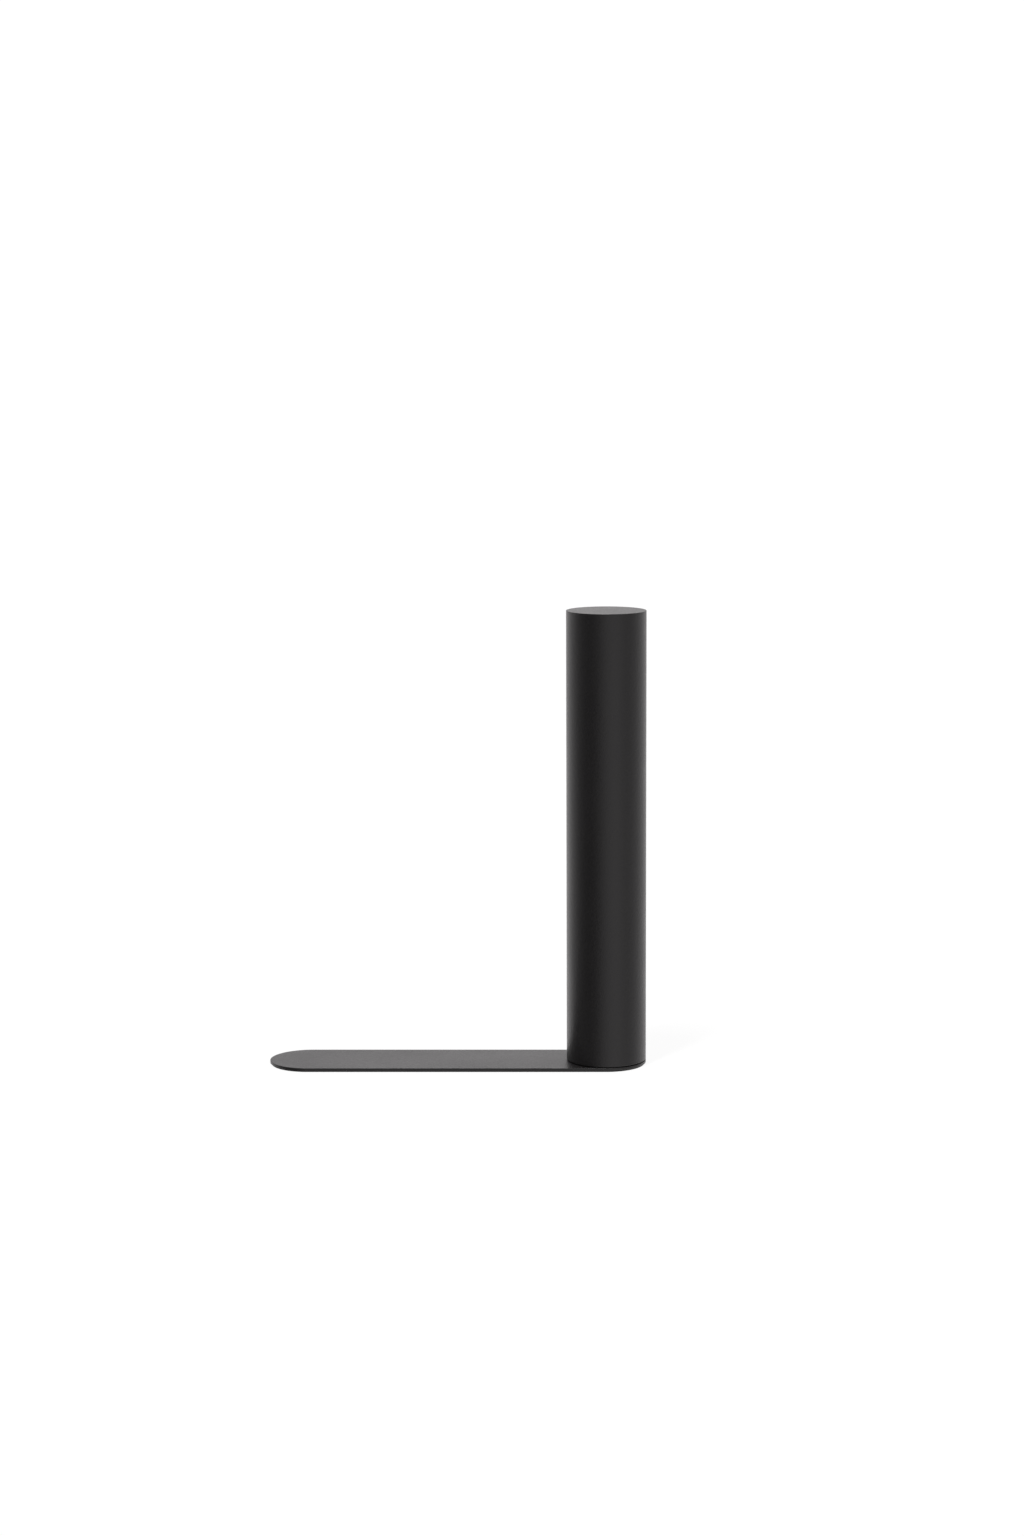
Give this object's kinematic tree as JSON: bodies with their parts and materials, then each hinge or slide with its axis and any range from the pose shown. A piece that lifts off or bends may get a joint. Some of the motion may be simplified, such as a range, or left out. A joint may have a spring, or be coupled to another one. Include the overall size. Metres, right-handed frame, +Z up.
{
  "type": "book end",
  "caption": "Book end: a weighted round steel column screwed upright to one end of a thin round-ended base plate that slides under the books, on an anti-slip sheet.",
  "frame": {"origin": "middle of the base plate's length and width, on the surface that the book end stands on", "axes": "+X along the base plate towards the column, +Y across the plate, +Z up along the column"},
  "size_m": [0.1424, 0.03, 0.1725],
  "materials": {
    "coated_steel": "matte",
    "foot_rubber": "matte",
    "gasket_rubber": "matte",
    "bare_steel": "satin",
    "zinc_steel": "satin",
    "spacer_plastic": "matte"
  },
  "bodies": {
    "root": {"anti_slip_foot": "foot_rubber", "base_plate": "coated_steel", "base_gasket": "gasket_rubber", "column_tube": "coated_steel", "top_cap": "coated_steel", "bottom_plug": "bare_steel", "ballast_bar": "bare_steel", "spacer_tube": "spacer_plastic", "base_screw_inner": "zinc_steel", "base_screw_outer": "zinc_steel"}
  },
  "joints": []
}
